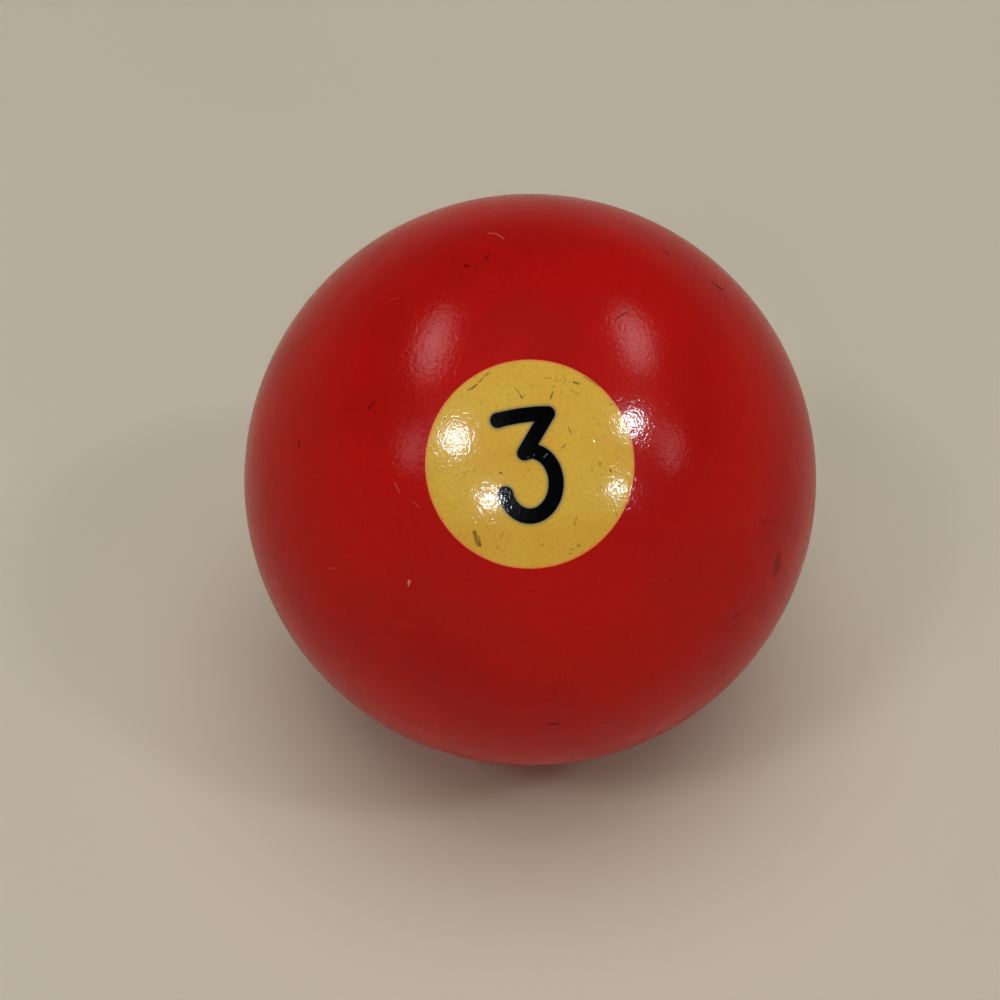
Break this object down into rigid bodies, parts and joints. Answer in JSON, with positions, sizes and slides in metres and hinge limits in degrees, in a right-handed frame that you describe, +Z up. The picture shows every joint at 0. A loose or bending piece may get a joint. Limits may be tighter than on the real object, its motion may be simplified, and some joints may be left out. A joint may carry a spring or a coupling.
{
  "type": "pool ball",
  "caption": "Solid resin pocket-billiards ball with an inlaid ivory number disc and a black numeral 3 at each of two opposite poles.",
  "frame": {"origin": "centre of the ball", "axes": "+Z up from the table, +X to the right of the front numeral, and the front number faces -Y, tilted 47 degrees up"},
  "size_m": [0.0572, 0.0572, 0.0572],
  "materials": {
    "red_resin": "polished cast phenolic resin, red",
    "ivory_resin": "polished cast resin, ivory yellowed with age",
    "black_resin": "polished resin inlay, black"
  },
  "bodies": {
    "root": {"ball_body": "red_resin", "number_plug_front": "ivory_resin", "numeral_front": "black_resin", "number_plug_rear": "ivory_resin", "numeral_rear": "black_resin"}
  },
  "joints": []
}
